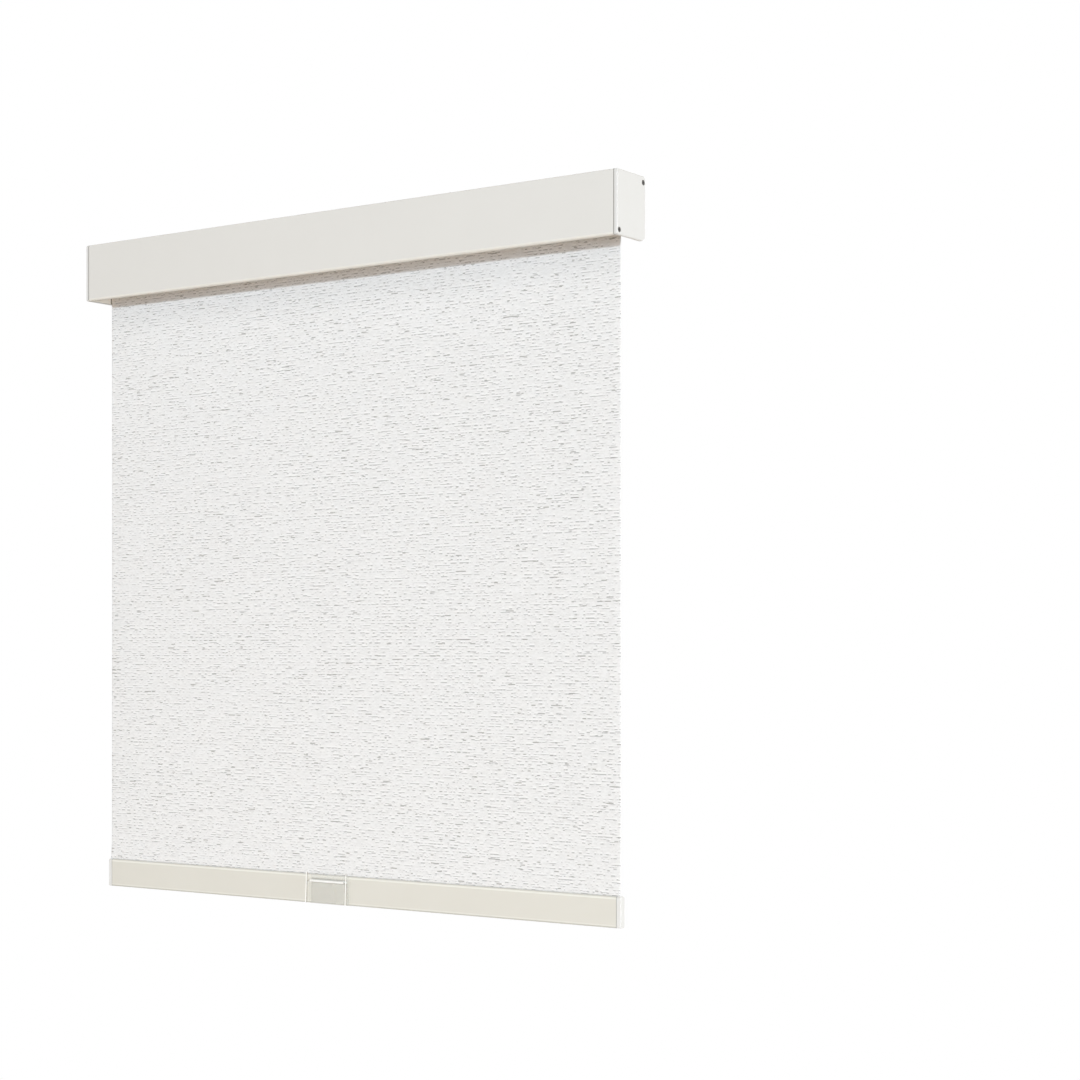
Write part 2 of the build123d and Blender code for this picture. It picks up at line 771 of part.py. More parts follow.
pieces = {
    "cassette_profile": make_cassette_profile(),
    "end_cap_left": make_end_cap_left(),
    "end_cap_right": make_end_cap_right(),
    "end_cap_screws_left": [mirrored(screw) for screw in make_end_cap_screws()],
    "end_cap_screws_right": make_end_cap_screws(),
    "bracket_plate_left": mirrored(make_bracket_plate()),
    "bracket_plate_right": make_bracket_plate(),
    "latch_lever_left": mirrored(make_latch_lever()),
    "latch_lever_right": make_latch_lever(),
    "latch_rivets": make_latch_rivets(),
    "roller_tube": make_roller_tube(),
    "fabric_top_strip": make_fabric_top_strip(),
    "fabric_roll": make_fabric_roll(),
    "fabric_panel": make_fabric_panel(),
    "drive_socket": make_drive_socket(),
    "drive_head": make_drive_head(),
    "drive_crown": make_drive_crown(),
    "spring_spindle": make_spring_spindle(),
    "damper_cover": make_damper_cover(),
    "damper_housing": make_damper_housing(),
    "damper_core": make_damper_core(),
    "spring_anchor": make_spring_anchor(),
    "torsion_spring": make_torsion_spring(),
    "drive_carrier": make_drive_carrier(),
    "limit_screw": make_limit_screw(),
    "limit_nut": make_limit_nut(),
    "spindle_clip": make_spindle_clip(),
    "idler_plug": make_idler_plug(),
    "idler_pin": make_idler_pin(),
    "idler_pin_spring": make_idler_pin_spring(),
    "idler_socket": make_idler_socket(),
    "rail_profile": make_rail_profile(),
    "rail_end_cap_left": make_rail_end_cap_left(),
    "rail_end_cap_right": make_rail_end_cap(),
    "fabric_hem": make_fabric_hem(),
    "rail_spline": make_rail_spline(),
    "rail_weight_bar": make_rail_weight_bar(),
    "pull_handle": make_pull_handle(),
}

os.makedirs("parts", exist_ok=True)
for name, made in pieces.items():
    export_step(solids_of(made), "parts/" + name + ".step")
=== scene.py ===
import math

import bpy
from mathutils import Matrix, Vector, noise


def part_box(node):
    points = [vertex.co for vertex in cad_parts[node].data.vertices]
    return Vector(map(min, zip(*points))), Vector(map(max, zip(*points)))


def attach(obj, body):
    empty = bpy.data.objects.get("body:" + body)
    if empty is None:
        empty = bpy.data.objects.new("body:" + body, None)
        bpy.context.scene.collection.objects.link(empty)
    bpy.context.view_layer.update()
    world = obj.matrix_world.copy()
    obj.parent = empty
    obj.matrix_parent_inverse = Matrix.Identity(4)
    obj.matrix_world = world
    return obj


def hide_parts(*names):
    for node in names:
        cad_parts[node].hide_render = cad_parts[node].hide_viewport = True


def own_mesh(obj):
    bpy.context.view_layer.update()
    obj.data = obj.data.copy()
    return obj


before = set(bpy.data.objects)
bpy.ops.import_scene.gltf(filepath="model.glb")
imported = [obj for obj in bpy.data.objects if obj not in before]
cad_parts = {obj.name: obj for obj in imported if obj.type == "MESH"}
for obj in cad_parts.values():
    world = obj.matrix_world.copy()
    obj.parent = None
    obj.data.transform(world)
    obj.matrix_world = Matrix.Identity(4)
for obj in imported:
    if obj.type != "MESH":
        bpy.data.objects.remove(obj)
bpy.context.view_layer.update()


# Cassette extrusion: the thin-walled aluminium profile that hides the roller from the room.
# It is extruded, sawn square and powder coated cream, which leaves a fine satin orange peel.
# A paler, warmer painted highlight runs along its lower lip, and at the sawn ends a thin grey
# line of painted shade marks the seam beside the caps.
class Socket:
    """An output of a finish's nodes that stands in plain sums."""

    def __init__(self, finish, socket):
        self.finish = finish
        self.socket = socket

    def sum(self, operation, first, second):
        return self.finish.node("ShaderNodeMath", {"operation": operation}, {0: first, 1: second})

    def __add__(self, other):
        return self.sum("ADD", self, other)

    def __radd__(self, other):
        return self.sum("ADD", other, self)

    def __sub__(self, other):
        return self.sum("SUBTRACT", self, other)

    def __rsub__(self, other):
        return self.sum("SUBTRACT", other, self)

    def __mul__(self, other):
        return self.sum("MULTIPLY", self, other)

    def __rmul__(self, other):
        return self.sum("MULTIPLY", other, self)

    def __abs__(self):
        return self.finish.node("ShaderNodeMath", {"operation": "ABSOLUTE"}, {0: self})

    def or_larger(self, other):
        return self.sum("MAXIMUM", self, other)


class Finish:
    """A material named for its finish, with one method that adds any node."""

    def __init__(self, name, world=None):
        self.material = world or bpy.data.materials.new(name)
        self.material.use_nodes = True
        self.tree = self.material.node_tree
        self.tree.nodes.clear()
        self.place = self.node("ShaderNodeTexCoord", output="Object")

    def node(self, kind, settings=None, inputs=None, output=0):
        made = self.tree.nodes.new(kind)
        for key, value in (settings or {}).items():
            setattr(made, key, value)
        for key, value in (inputs or {}).items():
            if isinstance(value, Socket):
                self.tree.links.new(value.socket, made.inputs[key])
            else:
                made.inputs[key].default_value = value
        return None if output is None else Socket(self, made.outputs[output])

    def along(self, axis):
        """How far along the X, Y or Z axis a point is, in metres."""
        return self.node("ShaderNodeSeparateXYZ", {}, {"Vector": self.place}, axis)

    def grain(self, size, detail=2.0, stretch=(1.0, 1.0, 1.0), shift=0.0):
        """Soft noise whose features are about size metres, longer where stretch is more than 1."""
        scale = [1.0 / (size * part) for part in stretch]
        place = self.node(
            "ShaderNodeMapping", {}, {"Vector": self.place, "Location": (shift,) * 3, "Scale": scale}
        )
        return self.node("ShaderNodeTexNoise", {}, {"Vector": place, "Scale": 1.0, "Detail": detail})

    def step(self, value, low, high):
        """0 where the value is under low, 1 over high, and smooth between."""
        settings = {"interpolation_type": "SMOOTHSTEP"}
        return self.node("ShaderNodeMapRange", settings, {0: value, 1: low, 2: high})

    def mix(self, factor, first, second):
        """One colour where the factor is 0 and another where it is 1."""
        inputs = {0: factor, 6: first, 7: second}
        return self.node("ShaderNodeMix", {"data_type": "RGBA"}, inputs, 2)

    def bump(self, height, depth, strength=1.0):
        """A surface that rises by depth metres where the height is 1."""
        return self.node("ShaderNodeBump", {}, {"Height": height, "Distance": depth, "Strength": strength})

    def surface(self, **inputs):
        named = {key.replace("_", " "): value for key, value in inputs.items()}
        shader = self.node("ShaderNodeBsdfPrincipled", {}, named)
        self.node("ShaderNodeOutputMaterial", {}, {"Surface": shader}, None)
        return self


def dress(finish, *names):
    """Gives pieces of the frame their finish."""
    for name in names:
        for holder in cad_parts[name].material_slots:
            holder.material = finish.material


def powder_coat(name, extrusion, pale, deep, painted_light_bands):
    """A satin polyester powder coat over an aluminium extrusion. Heights along its long edges
    each get a painted highlight or painted shade for how light falls on the rounded edge
    there, and the ends get a thin painted dark line of shade at the seam."""
    finish = Finish(name)
    low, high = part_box(extrusion)
    peel = finish.grain(0.0011, 1.0)
    cloud = finish.grain(0.06, 3.0)
    speck = finish.step(finish.grain(0.0005, 0.0, shift=3.0), 0.72, 0.8)
    level = finish.along("Z")
    from_middle = abs(finish.along("X") - (low.x + high.x) / 2)
    half_length = (high.x - low.x) / 2
    rim_width = 0.0007
    fade = 0.0003
    # Painted shade: a thin dark line at each end, where the seam against the cap falls in shadow.
    sawn_end_shade = finish.step(from_middle, half_length - rim_width, half_length - rim_width + fade)
    colour = finish.mix(cloud, pale, deep)
    colour = finish.mix(speck * 0.12, colour, (0.55, 0.52, 0.46, 1.0))
    # Painted highlights and painted shade along the rounded long edges.
    for start, end, tone in painted_light_bands:
        painted_band = finish.step(level, start - fade, start + fade)
        painted_band = painted_band - finish.step(level, end - fade, end + fade)
        colour = finish.mix(painted_band, colour, tone)
    colour = finish.mix(sawn_end_shade * 0.8, colour, (0.42, 0.42, 0.40, 1.0))
    return finish.surface(
        Base_Color=colour,
        Roughness=0.4 + 0.08 * peel,
        Normal=finish.bump(peel, 0.00002),
        Specular_IOR_Level=0.45,
    )


cassette_low, cassette_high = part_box("cassette_profile")
cassette_cream = powder_coat(
    "cassette cream", "cassette_profile", (0.776, 0.762, 0.724, 1.0), (0.755, 0.739, 0.70, 1.0),
    # Painted highlight: a paler, warmer strip along the rounded lower lip.
    [(cassette_low.z - 0.001, cassette_low.z + 0.0032, (0.825, 0.802, 0.74, 1.0))],
)
dress(cassette_cream, "cassette_profile")


# End caps: off-white mouldings, screwed to the ends of the extrusion, with the fine grain
# of a spark-eroded mould. Painted light on them: their inner faces are painted a paler warm
# ivory as if lit by warm light, their front strips a little darker as shade, the seam against
# the extrusion dark as its shadow, and a line beside the fabric dark as shade.
moulded_white = Finish("moulded white plastic")
mould_grain = moulded_white.grain(0.0006, 2.0)
flow = moulded_white.grain(0.03, 2.0)
inner_face = cassette_high.x
fabric_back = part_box("fabric_panel")[1].y
hair = 0.0001
seam_end = inner_face + 0.0007
gap_end = fabric_back + 0.0026
front_end = cassette_low.y + 0.0008
sideways = abs(moulded_white.along("X"))
inward = moulded_white.along("Y")
beyond = moulded_white.step(sideways, inner_face + hair, inner_face + 2 * hair)
# Painted shade: the seam against the extrusion, darkened as its shadow.
seam_shade = beyond * (1.0 - moulded_white.step(sideways, seam_end, seam_end + 2 * hair))
inside = (1.0 - beyond) * moulded_white.step(sideways, inner_face - 2 * hair, inner_face - hair)
# Painted shade: a dark strip on the inner face just behind the fabric, for the shadowed gap.
fabric_gap_shade = inside * moulded_white.step(inward, fabric_back - 4 * hair, fabric_back)
fabric_gap_shade = fabric_gap_shade * (1.0 - moulded_white.step(inward, gap_end, gap_end + 16 * hair))
# Painted shade: the cap's front strip and corner are made a little darker than its side.
front_face_shade = 1.0 - moulded_white.step(inward, front_end, front_end + 6 * hair)
shell = moulded_white.mix(flow, (0.816, 0.814, 0.796, 1.0), (0.796, 0.792, 0.77, 1.0))
shell = moulded_white.mix(front_face_shade, shell, (0.755, 0.75, 0.728, 1.0))
# Painted light: the inner faces are tinted a paler warm ivory, as if lit by warm light.
shell = moulded_white.mix(inside * 0.7, shell, (0.95, 0.865, 0.745, 1.0))
shell = moulded_white.mix(seam_shade * 0.6, shell, (0.30, 0.29, 0.27, 1.0))
shell = moulded_white.mix(fabric_gap_shade * 0.9, shell, (0.10, 0.085, 0.06, 1.0))
moulded_white.surface(
    Base_Color=shell,
    Roughness=0.42 + 0.1 * mould_grain,
    Normal=moulded_white.bump(mould_grain, 0.000015),
)
dress(moulded_white, "end_cap_left", "end_cap_right")


# End cap screws: self-tapping steel screws with pan heads, two to a cap, in black oxide.
# They hold the caps to the extrusion. The oxide is rubbed to bare steel in patches.
black_oxide = Finish("black oxide steel")
rub = black_oxide.step(black_oxide.grain(0.0009, 4.0), 0.55, 0.75)
black_oxide.surface(
    Base_Color=black_oxide.mix(rub, (0.22, 0.22, 0.22, 1.0), (0.5, 0.495, 0.48, 1.0)),
    Metallic=0.7,
    Roughness=0.5 - 0.15 * rub,
    Normal=black_oxide.bump(rub, 0.00001),
)
dress(black_oxide, "end_cap_screws_left", "end_cap_screws_right")


# Brackets and their rivets: pressed sheet steel and steel pins, zinc plated, with the
# plating's pale spangle. The bottom rail's weight bar is a steel strip plated the same way.
zinc_plate = Finish("zinc plated steel")
spangle = zinc_plate.node(
    "ShaderNodeTexVoronoi", {}, {"Vector": zinc_plate.place, "Scale": 260.0}, "Color"
)
tone = zinc_plate.node("ShaderNodeSeparateColor", {}, {"Color": spangle})
rolled = zinc_plate.grain(0.0004, 2.0, (30.0, 1.0, 1.0))
zinc_plate.surface(
    Base_Color=zinc_plate.mix(tone, (0.60, 0.615, 0.63, 1.0), (0.72, 0.725, 0.72, 1.0)),
    Metallic=1.0,
    Roughness=0.3 + 0.12 * tone,
    Normal=zinc_plate.bump(rolled, 0.000006),
)
dress(zinc_plate, "bracket_plate_left", "bracket_plate_right", "latch_rivets", "rail_weight_bar")


# Latch levers, sockets, plugs and the rigid mouldings of the spring unit: grey glass-filled
# nylon. The short fibres leave a faint mottle and a slightly dry surface.
grey_nylon = Finish("grey glass filled nylon")
fibre = grey_nylon.grain(0.0005, 3.0, (4.0, 1.0, 1.0))
grey_nylon.surface(
    Base_Color=grey_nylon.mix(fibre, (0.40, 0.41, 0.42, 1.0), (0.47, 0.475, 0.48, 1.0)),
    Roughness=0.5 + 0.12 * fibre,
    Normal=grey_nylon.bump(fibre, 0.00001),
)
dress(
    grey_nylon, "latch_lever_left", "latch_lever_right", "drive_socket", "drive_head", "drive_crown",
    "damper_core", "drive_carrier", "limit_screw", "idler_plug", "idler_socket",
)


# Roller tube: a round aluminium extrusion that the fabric winds on, sawn to length and left
# in its mill finish, with die lines along it and duller patches from handling.
mill_finish = Finish("mill finish aluminium")
die_lines = mill_finish.grain(0.0003, 3.0, (400.0, 1.0, 1.0))
handling = mill_finish.grain(0.02, 4.0)
mill_finish.surface(
    Base_Color=mill_finish.mix(handling, (0.70, 0.71, 0.72, 1.0), (0.62, 0.63, 0.64, 1.0)),
    Metallic=1.0,
    Roughness=0.32 + 0.15 * die_lines,
    Normal=mill_finish.bump(die_lines, 0.000008),
)
dress(mill_finish, "roller_tube")


# Damper's housing and cover, spring anchor and limit nut: mouldings in black plastic,
# smooth with faint flow marks. They work inside the roller tube.
black_plastic = Finish("black moulded plastic")
swirl = black_plastic.grain(0.004, 3.0, (2.0, 1.0, 1.0))
black_plastic.surface(
    Base_Color=black_plastic.mix(swirl, (0.022, 0.022, 0.024, 1.0), (0.045, 0.045, 0.047, 1.0)),
    Roughness=0.34 + 0.14 * swirl,
    Normal=black_plastic.bump(swirl, 0.00001),
)
dress(black_plastic, "damper_cover", "damper_housing", "spring_anchor", "limit_nut")


# Springs, spindle, clip and idler pin: drawn steel wire and rod under a film of oil.
# Drawing marks run along the metal, and the oil darkens it in patches.
drawn_steel = Finish("oiled drawn steel")
drawing = drawn_steel.grain(0.0003, 2.0, (60.0, 1.0, 1.0))
oil = drawn_steel.step(drawn_steel.grain(0.012, 3.0), 0.4, 0.65)
drawn_steel.surface(
    Base_Color=drawn_steel.mix(oil, (0.56, 0.57, 0.58, 1.0), (0.40, 0.39, 0.37, 1.0)),
    Metallic=1.0,
    Roughness=0.26 + 0.16 * drawing,
    Normal=drawn_steel.bump(drawing, 0.000005),
)
dress(drawn_steel, "spring_spindle", "torsion_spring", "spindle_clip", "idler_pin")


# Idler pin's spring: a compression spring of round wire, seven turns, at the foot of the bore
# behind the pin. On the shade it shortens as the pin is pushed in; this coil is built at one
# length.
pin_spring_low, pin_spring_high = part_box("idler_pin_spring")
wire_radius = 0.00035
wire_sides = 8
spring_turns = 7
steps_in_turn = 24
pin_spring_length = pin_spring_high.x - pin_spring_low.x
pin_spring_axis = (pin_spring_low + pin_spring_high) / 2
coil_radius = (pin_spring_high.z - pin_spring_low.z) / 2 - wire_radius
coil_steps = spring_turns * steps_in_turn
coil_vertices = []
for step in range(coil_steps + 1):
    turn = 2 * math.pi * step / steps_in_turn
    middle_x = pin_spring_low.x + wire_radius
    middle_x += (pin_spring_length - 2 * wire_radius) * step / coil_steps
    for side in range(wire_sides):
        lean = 2 * math.pi * side / wire_sides
        reach = coil_radius + wire_radius * math.cos(lean)
        coil_vertices.append((
            middle_x + wire_radius * math.sin(lean),
            pin_spring_axis.y + reach * math.cos(turn),
            pin_spring_axis.z + reach * math.sin(turn),
        ))
coil_faces = [tuple(range(wire_sides))]
for step in range(coil_steps):
    for side in range(wire_sides):
        first = step * wire_sides + side
        second = step * wire_sides + (side + 1) % wire_sides
        coil_faces.append((first, first + wire_sides, second + wire_sides, second))
coil_faces.append(tuple(coil_steps * wire_sides + side for side in reversed(range(wire_sides))))
coil_mesh = bpy.data.meshes.new("pin_spring_coil")
coil_mesh.from_pydata(coil_vertices, [], coil_faces)
coil_mesh.shade_smooth()
coil_mesh.materials.append(drawn_steel.material)
pin_spring_coil = bpy.data.objects.new("pin_spring_coil", coil_mesh)
bpy.context.scene.collection.objects.link(pin_spring_coil)
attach(pin_spring_coil, "roller")
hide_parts("idler_pin_spring")
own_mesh(pin_spring_coil)


# Fabric strip and spline: extruded milky plastic that the fabric's two ends are held with.
# The strip fixes the top end to the tube and the spline lies in the hem in the rail.
milky_plastic = Finish("milky extruded plastic")
drag = milky_plastic.grain(0.0004, 2.0, (200.0, 1.0, 1.0))
milky_plastic.surface(
    Base_Color=milky_plastic.mix(drag, (0.80, 0.80, 0.78, 1.0), (0.74, 0.74, 0.71, 1.0)),
    Roughness=0.3 + 0.1 * drag,
    Normal=milky_plastic.bump(drag, 0.000008),
    Subsurface_Weight=0.2,
    Subsurface_Scale=0.002,
)
dress(milky_plastic, "fabric_top_strip", "rail_spline")


# Fabric: one blackout cloth 0.5 mm thick. The room face is woven from white polyester with
# slub threads that show as short grey and brown flecks across it. The back is coated with
# smooth white acrylic foam, and the sides are cut and sealed.
fabric_thickness = 0.0005
thread_pitch = 0.00045
wave_scale = 0.314 / thread_pitch

woven_face = Finish("woven white face with flecks")
warp, weft = (
    woven_face.node(
        "ShaderNodeTexWave",
        {"bands_direction": direction, "wave_profile": "SIN"},
        {"Vector": woven_face.place, "Scale": wave_scale, "Distortion": 0.0},
    )
    for direction in "XZ"
)
weave = warp * weft
across = woven_face.along("X")
down = woven_face.along("Z")


def slub_yarn(pitch, length, shift):
    """One slub yarn in each pitch of the height: noise along it, and the height within it.
    Each row is read far enough from the last one in the noise to look unlike it."""
    row_jump = 3.713
    rows = down * (1.0 / pitch)
    row = woven_face.node("ShaderNodeMath", {"operation": "FLOOR"}, {0: rows})
    place = woven_face.node(
        "ShaderNodeCombineXYZ", {}, {"X": across * (1.0 / length), "Y": row * row_jump, "Z": shift}
    )
    yarn = woven_face.node("ShaderNodeTexNoise", {}, {"Vector": place, "Scale": 1.0, "Detail": 1.0})
    return yarn, rows - row


drift = woven_face.grain(0.05, 2.0, (1.0, 1.0, 1.0), 2.0)
slub = slub_yarn(pitch=0.0014, length=0.005, shift=0.5)[0]
ground = woven_face.mix(
    woven_face.step(slub, 0.3, 0.7), (0.93, 0.93, 0.925, 1.0), (0.835, 0.835, 0.827, 1.0)
)
ground = woven_face.mix(drift * 0.12, ground, (0.86, 0.858, 0.85, 1.0))
for pitch, length, shift, grey in ((0.0043, 0.0058, 7.5, 0.55), (0.0031, 0.0082, 13.5, 0.59)):
    yarn, within = slub_yarn(pitch, length, shift)
    thread = woven_face.step(within, 0.0, 0.1) - woven_face.step(within, 0.36, 0.46)
    beside = woven_face.step(within, 0.4, 0.5) - woven_face.step(within, 0.8, 0.95)
    dash = woven_face.step(yarn, 0.51, 0.68)
    ground = woven_face.mix(dash * thread, ground, (grey, grey - 0.002, grey - 0.007, 1.0))
    ground = woven_face.mix(dash * beside, ground, (0.99, 0.99, 0.985, 1.0))
fleck, within = slub_yarn(pitch=0.0052, length=0.013, shift=19.5)
fleck = woven_face.step(fleck, 0.64, 0.70) * (1.0 - woven_face.step(within, 0.18, 0.27))
ground = woven_face.mix(fleck * 0.85, ground, (0.31, 0.30, 0.28, 1.0))
woven_face.surface(
    Base_Color=ground,
    Roughness=0.88 - 0.1 * weave,
    Normal=woven_face.bump(weave + 0.6 * slub, 0.00006),
    Sheen_Weight=0.05,
    Specular_IOR_Level=0.25,
)

coated_back = Finish("coated white back")
foam = coated_back.grain(0.0009, 3.0)
telegraph = coated_back.grain(0.0012, 1.0, (5.0, 1.0, 1.0))
coated_back.surface(
    Base_Color=coated_back.mix(foam, (0.86, 0.855, 0.835, 1.0), (0.82, 0.81, 0.79, 1.0)),
    Roughness=0.62 + 0.1 * foam,
    Normal=coated_back.bump(foam + 0.5 * telegraph, 0.00002),
)

sealed_edge = Finish("cut and sealed fabric edge")
fray = sealed_edge.grain(0.0004, 3.0, (1.0, 1.0, 0.5))
sealed_edge.surface(
    Base_Color=sealed_edge.mix(fray, (0.90, 0.895, 0.88, 1.0), (0.74, 0.73, 0.70, 1.0)),
    Roughness=0.8,
    Normal=sealed_edge.bump(fray, 0.00005),
)


# Fabric on the roller: the turns that stay wound when the shade is down.
# The coated back faces out, because the fabric leaves the roller on the window side.
def cloth(name, line, x_places, lean=None):
    """A length of the fabric swept along X. The line is its middle, (y, z) points from the
    rail's end to the roller's end, and lean gives how far a point stands off that line."""
    rows = []
    for index, (y, z) in enumerate(line):
        before = line[max(index - 1, 0)]
        after = line[min(index + 1, len(line) - 1)]
        along = Vector((after[0] - before[0], after[1] - before[1])).normalized()
        rows.append((y, z, -along.y, along.x))
    vertices = []
    for side in (0.5, -0.5):
        for y, z, out_y, out_z in rows:
            for x in x_places:
                off = side * fabric_thickness + (lean(x, z) if lean else 0.0)
                vertices.append((x, y + off * out_y, z + off * out_z))
    wide = len(x_places)
    back = len(rows) * wide
    faces = []
    finishes = []
    for row in range(len(rows) - 1):
        for column in range(wide - 1):
            corner = row * wide + column
            quad = (corner, corner + 1, corner + wide + 1, corner + wide)
            faces.append(quad)
            finishes.append(0)
            faces.append(tuple(back + place for place in reversed(quad)))
            finishes.append(1)
    border = list(range(wide))
    border += [row * wide + wide - 1 for row in range(1, len(rows))]
    border += [(len(rows) - 1) * wide + column for column in range(wide - 2, -1, -1)]
    border += [row * wide for row in range(len(rows) - 2, 0, -1)]
    for first, second in zip(border, border[1:] + border[:1]):
        faces.append((first, first + back, second + back, second))
        finishes.append(2)
    mesh = bpy.data.meshes.new(name)
    mesh.from_pydata(vertices, [], faces)
    for finish in (woven_face, coated_back, sealed_edge):
        mesh.materials.append(finish.material)
    for face, finish in zip(mesh.polygons, finishes):
        face.material_index = finish
        face.use_smooth = finish != 2
    mesh.update()
    piece = bpy.data.objects.new(name, mesh)
    bpy.context.scene.collection.objects.link(piece)
    return piece


def evenly(low, high, count):
    """Places spread evenly from low to high."""
    return [low + (high - low) * index / (count - 1) for index in range(count)]


roll_low, roll_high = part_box("fabric_roll")
roller_y = (roll_low.y + roll_high.y) / 2
roller_z = (roll_low.z + roll_high.z) / 2
roll_radius = (roll_high.z - roll_low.z) / 2
tube_low, tube_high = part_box("roller_tube")
tube_radius = (tube_high.z - tube_low.z) / 2
spare_turns = 0.06
wound_turns = (roll_radius - tube_radius) / fabric_thickness - spare_turns
spiral_steps = 180
spiral = []
for index in range(spiral_steps + 1):
    share = index / spiral_steps
    angle = share * wound_turns * 2 * math.pi
    radius = roll_radius - fabric_thickness / 2 - share * (wound_turns - spare_turns) * fabric_thickness
    spiral.append((roller_y + radius * math.cos(angle), roller_z + radius * math.sin(angle)))
wound_fabric = cloth("wound_fabric", spiral, evenly(roll_low.x, roll_high.x, 9))
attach(wound_fabric, "roller")
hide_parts("fabric_roll")


# Fabric that hangs: flat under the rail's weight, with the faint curl that its sealed
# edges keep from being wound, which goes where the roller and the rail hold it straight.
# At its foot it leans on the front lip of the rail's mouth.
panel_low, panel_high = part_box("fabric_panel")
panel_y = (panel_low.y + panel_high.y) / 2
edge_curl = 0.0006
curl_width = 0.012
hang_ripple = 0.00025
lip_lean = 0.0015
lean_height = 0.035


def hang(x, z):
    """How far the hanging fabric stands off its own plane."""
    down = (panel_high.z - z) / (panel_high.z - panel_low.z)
    free = math.sin(math.pi * min(max(down, 0.0), 1.0)) ** 0.5
    from_side = min(x - panel_low.x, panel_high.x - x)
    curl = edge_curl * math.exp(-from_side / curl_width)
    ripple = hang_ripple * noise.noise(Vector((x * 9.0, 0.0, z * 2.0)))
    near_rail = max(0.0, 1.0 - (z - panel_low.z) / lean_height)
    return free * (ripple - curl) + lip_lean * near_rail ** 2


panel_z = [panel_low.z + share * lean_height for share in (0.0, 0.05, 0.12, 0.22, 0.35, 0.5, 0.7)]
panel_z += evenly(panel_low.z + lean_height, panel_high.z, 88)
panel_line = [(panel_y, z) for z in panel_z]
side_share = [0.0, 0.002, 0.005, 0.01, 0.02]
panel_x = side_share + evenly(0.035, 0.965, 60) + [1 - share for share in reversed(side_share)]
panel_x = [panel_low.x + share * (panel_high.x - panel_low.x) for share in panel_x]
hanging_fabric = cloth("hanging_fabric", panel_line, panel_x, hang)
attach(hanging_fabric, "cassette")
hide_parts("fabric_panel")
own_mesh(hanging_fabric)


# Fabric hem: the last few centimetres, folded round the spline and welded to itself, so
# that the rail's slotted chamber can't let it go.
hem_low, hem_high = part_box("fabric_hem")
hem_radius = (hem_high.y - hem_low.y) / 2 - fabric_thickness / 2
hem_z = hem_low.z + hem_radius + fabric_thickness / 2
neck_gap = 0.0002
neck_z = hem_z + hem_radius + neck_gap
loop_end = math.radians(-252)
loop_start = math.radians(112)
hem_line = []
for angle in evenly(loop_end, loop_start, 49):
    hem_line.append((panel_y + hem_radius * math.cos(angle), hem_z + hem_radius * math.sin(angle)))
for share in evenly(0.0, 1.0, 4):
    hem_line.append((panel_y - lip_lean * share, neck_z + share * (hem_high.z - neck_z)))
folded_hem = cloth("folded_hem", hem_line, evenly(hem_low.x, hem_high.x, 5))
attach(folded_hem, "bottom_rail")
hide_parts("fabric_hem")


# Bottom rail: a flat hollow extrusion, powder coated a shade warmer than the cassette,
# with a moulded plug in each end. Along its top and bottom edges it carries painted lines
# of shade and painted highlights for the light on its rounded edges.
rail_low, rail_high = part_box("rail_profile")
rail_cream = powder_coat(
    "rail cream", "rail_profile", (0.766, 0.748, 0.68, 1.0), (0.742, 0.722, 0.65, 1.0),
    [
        # Painted light, top to bottom: painted shade at the top edge, a painted highlight just under it, a
        # painted highlight near the foot and painted shade along the bottom edge.
        (rail_high.z - 0.0012, rail_high.z + 0.001, (0.72, 0.71, 0.65, 1.0)),
        (rail_high.z - 0.0036, rail_high.z - 0.0014, (0.87, 0.86, 0.79, 1.0)),
        (rail_low.z + 0.002, rail_low.z + 0.0034, (0.82, 0.805, 0.735, 1.0)),
        (rail_low.z - 0.001, rail_low.z + 0.0016, (0.56, 0.55, 0.49, 1.0)),
    ],
)
dress(rail_cream, "rail_profile")
dress(moulded_white, "rail_end_cap_left", "rail_end_cap_right")


# Pull handle: one clear acrylic moulding, polished, hooked over the rail's top lip, with
# hairline scratches from fingers. The rims of its side walls and the front edge of its ledge
# carry painted highlights and a painted glow, set between painted dark lines of shade, and
# its back plate is tinted faintly grey, paler and clearer above the ledge.
clear_acrylic = Finish("clear acrylic")
hairline = clear_acrylic.step(clear_acrylic.grain(0.0003, 3.0, (18.0, 1.0, 1.0)), 0.62, 0.7)
handle_low, handle_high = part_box("pull_handle")
handle_middle = (handle_low.x + handle_high.x) / 2
half_width = handle_high.x - handle_middle
wall_lean = 0.002 / (handle_high.z - handle_low.z)
wall_inside = half_width - 0.0028
plate_front = handle_low.y + 0.0066
foot_top = handle_low.z + 0.0008
rim_inside = half_width - 0.0017
rim_outside = half_width - 0.0004
rim_depth = 0.0006
rim_shade_depth = 0.0014
ledge_middle = rail_high.z - 0.00825
ledge_reach = half_width - 0.0062
ledge_half = 0.0013
ledge_shade_half = 0.0024
above_start = ledge_middle + 0.002
depth = clear_acrylic.along("Y")
level = clear_acrylic.along("Z")
from_front = depth - (handle_low.y + wall_lean * (level - handle_low.z))
from_ledge = abs(level - ledge_middle)
from_middle = abs(clear_acrylic.along("X") - handle_middle)
between = 1.0 - clear_acrylic.step(from_middle, wall_inside, wall_inside + 0.0004)
plate = clear_acrylic.step(depth, plate_front, plate_front + 0.0006) * between
foot = clear_acrylic.step(level, foot_top, foot_top + 0.0006)
# Painted highlight: the front rims of the side walls.
rim_highlight = clear_acrylic.step(from_middle, rim_inside, rim_inside + 0.0003)
rim_highlight = rim_highlight * (1.0 - clear_acrylic.step(from_middle, rim_outside, rim_outside + 0.0002))
rim_highlight = rim_highlight * (1.0 - clear_acrylic.step(from_front, rim_depth, rim_depth + 0.0003)) * foot
